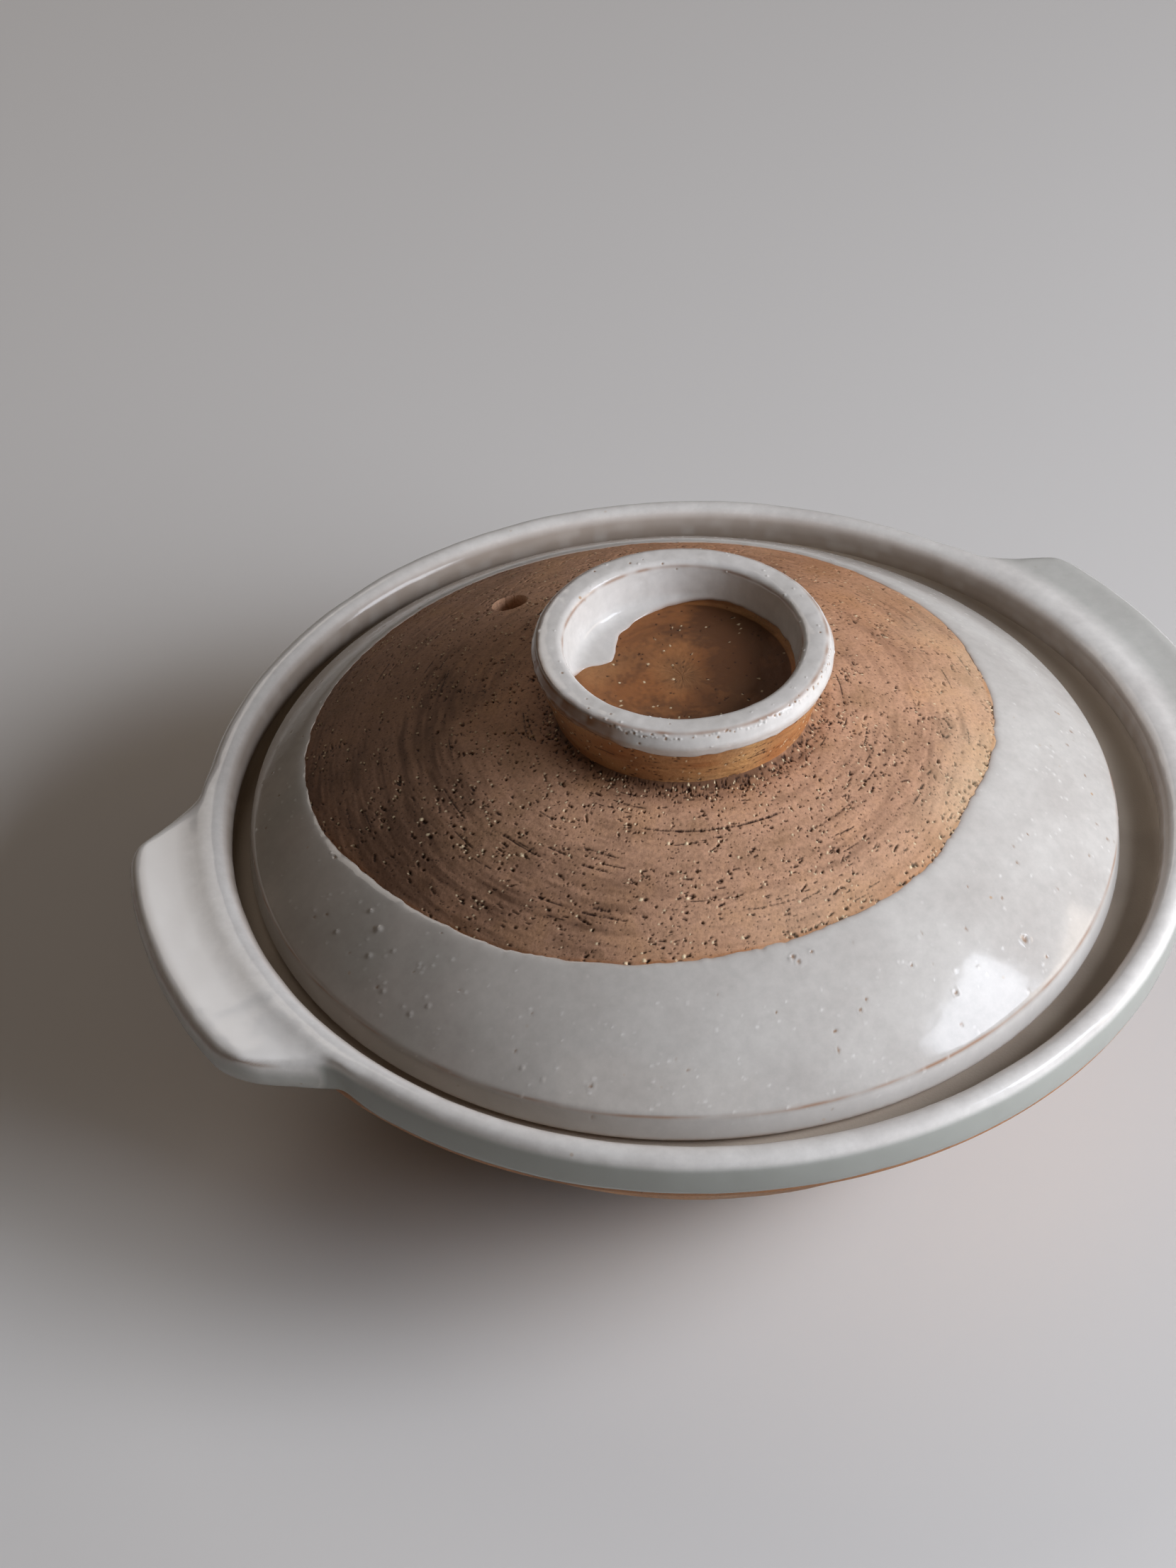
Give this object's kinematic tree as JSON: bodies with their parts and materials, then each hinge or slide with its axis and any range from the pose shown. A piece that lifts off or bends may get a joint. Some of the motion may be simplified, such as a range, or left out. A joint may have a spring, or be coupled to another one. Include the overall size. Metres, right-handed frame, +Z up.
{
  "type": "donabe clay pot",
  "caption": "Round lidded stoneware cooking pot with a flared rim, lug handles, a steam hole and a cup-shaped knob, its clay dome bare above a milky glazed band.",
  "frame": {"origin": "centre of the foot, on the table, under the axis of the bowl", "axes": "+Z up, +X towards the right handle and -X towards the left handle, both handles turned 3.2 degrees towards +Y"},
  "size_m": [0.2172, 0.19, 0.0972],
  "materials": {
    "grogged_clay": "bare, rough, with grog and fine pits",
    "milky_glaze": "glossy warm white glaze with pinholes"
  },
  "bodies": {
    "pot": {"bowl": "grogged_clay", "left_handle": "milky_glaze", "right_handle": "milky_glaze", "rim_glaze": "milky_glaze", "bowl_glaze": "milky_glaze"},
    "lid": {"lid": "grogged_clay", "lid_glaze": "milky_glaze", "lid_knob": "grogged_clay", "knob_glaze": "milky_glaze"}
  },
  "joints": [
    {"name": "lid_lift", "type": "slide", "parent": "pot", "child": "lid", "axis": [0, 0, 1], "range_m": [0, 0.12]}
  ]
}
